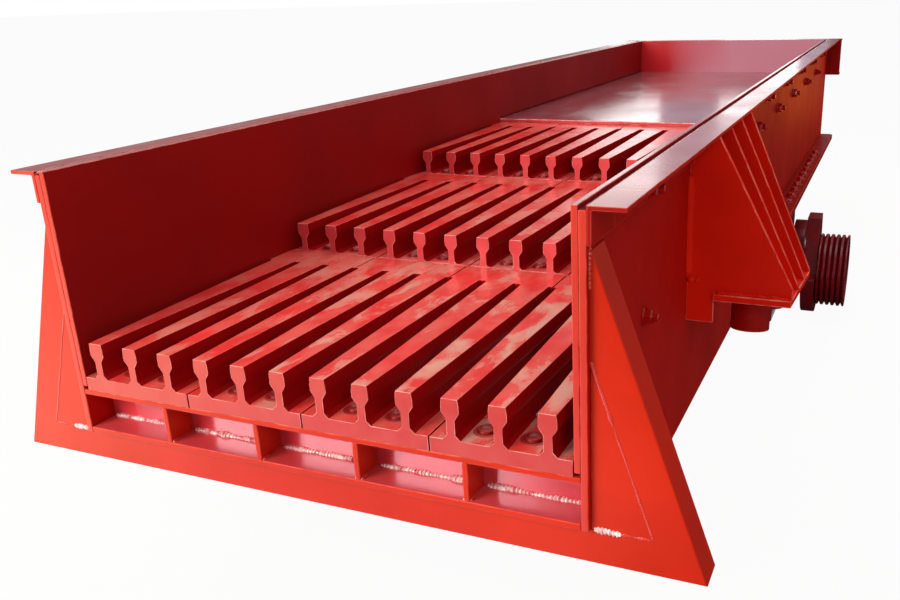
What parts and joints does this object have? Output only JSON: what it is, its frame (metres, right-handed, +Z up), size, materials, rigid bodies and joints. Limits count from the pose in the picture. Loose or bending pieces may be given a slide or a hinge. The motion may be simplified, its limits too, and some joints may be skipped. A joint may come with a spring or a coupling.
{
  "type": "vibrating grizzly feeder",
  "caption": "Vibrating feeder with a flat feed deck, stepped grizzly bars, flared discharge frame, spring brackets and a belt-driven twin-shaft exciter.",
  "frame": {"origin": "middle of the front face of the discharge frame's bottom bar", "axes": "+X to the right seen from the discharge end, +Y along the trough to the feed end, +Z up"},
  "size_m": [1.463, 3.941, 0.908],
  "materials": {
    "red_enamel": "glossy enamel",
    "worn_enamel": "glossy enamel, dusty on top",
    "fastener_enamel": "painted over",
    "dark_enamel": "dark glossy enamel",
    "shaft_steel": "turned",
    "gear_steel": "cut teeth",
    "bearing_steel": "ground"
  },
  "bodies": {
    "trough": {"side_plate_right": "red_enamel", "side_plate_left": "red_enamel", "rim_angle_right": "red_enamel", "rim_angle_left": "red_enamel", "side_liner_right": "red_enamel", "side_liner_left": "red_enamel", "rear_wall": "red_enamel", "deck_plate": "red_enamel", "deck_ribs": "red_enamel", "discharge_roof": "red_enamel", "discharge_floor": "red_enamel", "discharge_back": "red_enamel", "discharge_ribs": "red_enamel", "step_beam_lower": "red_enamel", "step_beam_middle": "red_enamel", "step_beam_upper": "red_enamel", "wing_angle_right": "red_enamel", "wing_angle_left": "red_enamel", "wing_filler_right": "red_enamel", "wing_filler_left": "red_enamel", "bottom_bar": "red_enamel", "bracket_gussets_right": "red_enamel", "bracket_gussets_left": "red_enamel", "seat_plate_right": "red_enamel", "seat_plate_left": "red_enamel", "spring_guides": "red_enamel", "exciter_rail_right": "red_enamel", "exciter_rail_left": "red_enamel", "exciter_bridge": "red_enamel", "rear_bridge": "red_enamel", "rear_beam": "red_enamel", "rear_seats": "red_enamel", "grizzly_lower_1": "worn_enamel", "grizzly_lower_2": "worn_enamel", "grizzly_lower_3": "worn_enamel", "grizzly_lower_4": "worn_enamel", "grizzly_middle_1": "worn_enamel", "grizzly_middle_2": "worn_enamel", "grizzly_middle_3": "worn_enamel", "grizzly_middle_4": "worn_enamel", "grizzly_upper_1": "worn_enamel", "grizzly_upper_2": "worn_enamel", "grizzly_upper_3": "worn_enamel", "grizzly_upper_4": "worn_enamel", "panel_bolts": "fastener_enamel", "liner_nuts": "fastener_enamel", "bridge_bolts": "fastener_enamel", "casing_upper": "dark_enamel", "casing_lower": "dark_enamel", "bearings": "bearing_steel"},
    "drive_rotor": {"drive_shaft": "shaft_steel", "drive_gear": "gear_steel", "drive_wheels": "dark_enamel"},
    "driven_rotor": {"driven_shaft": "shaft_steel", "driven_gear": "gear_steel", "driven_wheels": "dark_enamel"}
  },
  "joints": [
    {"name": "drive_spin", "type": "hinge", "parent": "trough", "child": "drive_rotor", "pos_m": [0, 2.268, -0.213], "axis": [1, 0, 0], "continuous": true},
    {"name": "driven_spin", "type": "hinge", "parent": "trough", "child": "driven_rotor", "pos_m": [0, 2.528, -0.213], "axis": [1, 0, 0], "continuous": true}
  ],
  "couplings": [
    {"joint": "driven_spin", "follows": "drive_spin", "ratio": -1}
  ]
}
